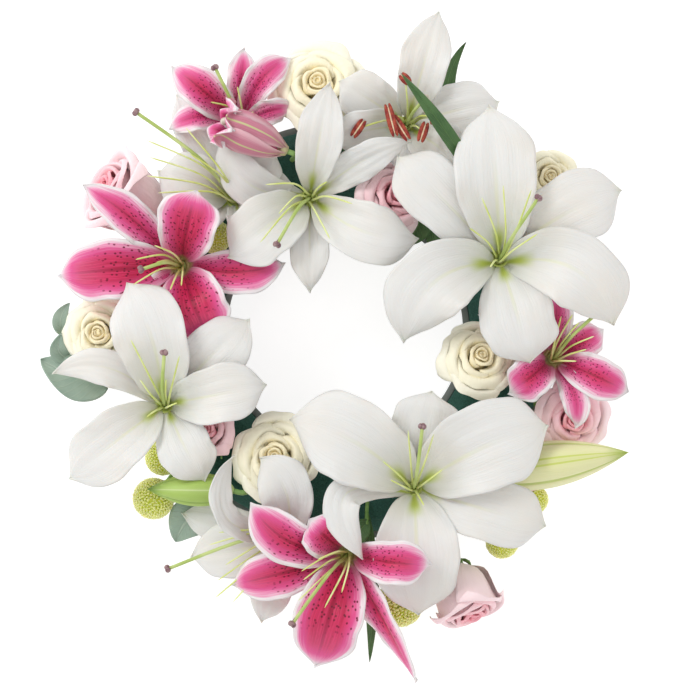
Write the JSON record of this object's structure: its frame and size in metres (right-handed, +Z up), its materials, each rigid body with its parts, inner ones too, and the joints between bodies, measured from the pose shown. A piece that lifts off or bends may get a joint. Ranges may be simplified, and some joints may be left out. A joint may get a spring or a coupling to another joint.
{
  "type": "funeral wreath",
  "caption": "Ring of fresh lilies, roses, button chrysanthemums, buds and leaves set in a foam ring in a shallow tray, lying flat, open in the middle.",
  "frame": {"origin": "the tray's underside, below the middle of the wreath's outline seen from above", "axes": "+Z up out of the flowers, +Y towards the picture's top edge, +X towards its right edge"},
  "size_m": [0.4276, 0.4828, 0.1228],
  "materials": {
    "tray": "satin moulded plastic",
    "foam": "wet open-cell foam, matt",
    "white_petal": "waxy white petal, soft sheen",
    "pink_petal": "crimson petal with a white margin",
    "pink_bud_petal": "dusty pink petal with pale ribs",
    "lily_heart": "smooth green filaments",
    "pink_rose": "velvety pale pink petal",
    "cream_rose": "velvety cream petal, peach at the heart",
    "chrysanthemum": "matt lime florets",
    "green_bud": "smooth green bud",
    "cream_bud": "smooth bud, cream with green ribs",
    "stem": "smooth green stem",
    "grey_leaf": "grey-green leaf with a dull bloom",
    "dark_leaf": "glossy dark green leaf"
  },
  "bodies": {
    "root": {"chrysanthemum_spray_1": "chrysanthemum", "chrysanthemum_spray_2": "chrysanthemum", "chrysanthemum_spray_3": "chrysanthemum", "chrysanthemum_spray_4": "chrysanthemum", "chrysanthemum_spray_5": "chrysanthemum", "cream_rose_1_head": "cream_rose", "cream_rose_1_stem": "stem", "cream_rose_2_head": "cream_rose", "cream_rose_2_stem": "stem", "cream_rose_3_head": "cream_rose", "cream_rose_3_stem": "stem", "cream_rose_4_head": "cream_rose", "cream_rose_4_stem": "stem", "cream_rose_5_head": "cream_rose", "cream_rose_5_stem": "stem", "dark_leaves_inner": "dark_leaf", "dark_leaves_lower": "dark_leaf", "eucalyptus_left": "grey_leaf", "eucalyptus_lower": "grey_leaf", "foam": "foam", "lily_bud_1": "green_bud", "lily_bud_2": "cream_bud", "lily_leaves_top": "dark_leaf", "pink_lily_1_heart": "lily_heart", "pink_lily_1_petals": "pink_petal", "pink_lily_2_heart": "lily_heart", "pink_lily_2_petals": "pink_petal", "pink_lily_3_heart": "lily_heart", "pink_lily_3_petals": "pink_petal", "pink_lily_4_heart": "lily_heart", "pink_lily_4_petals": "pink_petal", "pink_lily_bud_petals": "pink_bud_petal", "pink_lily_bud_stem": "stem", "pink_rose_1_head": "pink_rose", "pink_rose_1_stem": "stem", "pink_rose_2_head": "pink_rose", "pink_rose_2_stem": "stem", "pink_rose_3_head": "pink_rose", "pink_rose_3_stem": "stem", "pink_rose_4_head": "pink_rose", "pink_rose_4_stem": "stem", "pink_rose_5_head": "pink_rose", "pink_rose_5_stem": "stem", "pink_rose_6_head": "pink_rose", "pink_rose_6_stem": "stem", "tray": "tray", "white_lily_1_heart": "lily_heart", "white_lily_1_petals": "white_petal", "white_lily_2_heart": "lily_heart", "white_lily_2_petals": "white_petal", "white_lily_3_heart": "lily_heart", "white_lily_3_petals": "white_petal", "white_lily_4_heart": "lily_heart", "white_lily_4_petals": "white_petal", "white_lily_5_heart": "lily_heart", "white_lily_5_petals": "white_petal", "white_lily_6_heart": "lily_heart", "white_lily_6_petals": "white_petal", "white_lily_7_heart": "lily_heart", "white_lily_7_petals": "white_petal"}
  },
  "joints": []
}
